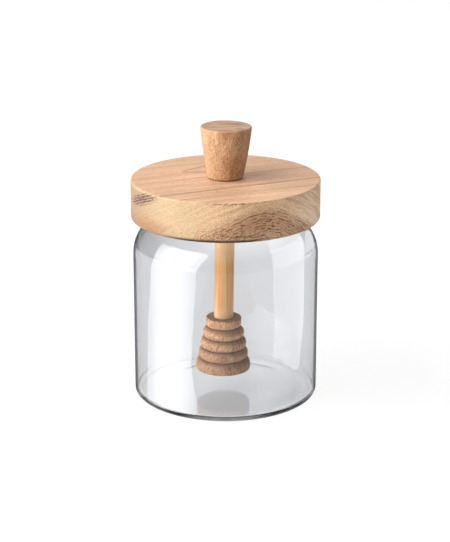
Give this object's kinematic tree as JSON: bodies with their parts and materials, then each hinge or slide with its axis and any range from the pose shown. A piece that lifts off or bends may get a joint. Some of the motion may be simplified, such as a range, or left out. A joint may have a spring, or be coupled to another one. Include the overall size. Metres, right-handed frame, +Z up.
{
  "type": "honey jar with dipper",
  "caption": "Round clear glass jar with a thick turned wooden lid; a wooden honey dipper with stepped rings hangs inside from a cone-shaped knob on the lid.",
  "frame": {"origin": "centre of the jar's foot, on the surface that it stands on", "axes": "+Z up along the jar's axis; -Y is the side that faces the viewer in the picture, +X to the right of it"},
  "size_m": [0.095, 0.095, 0.1396],
  "materials": {
    "clear_glass": "smooth, polished, clear",
    "lid_wood": "turned and sanded, satin, with open pores and a pale band of sapwood",
    "knob_wood": "turned, upright grain, unpolished",
    "bamboo": "straight fine fibres, unpolished",
    "head_wood": "turned, upright grain, unpolished"
  },
  "bodies": {
    "root": {"jar": "clear_glass", "lid": "lid_wood", "knob": "knob_wood", "stick": "bamboo", "dipper_head": "head_wood"}
  },
  "joints": []
}
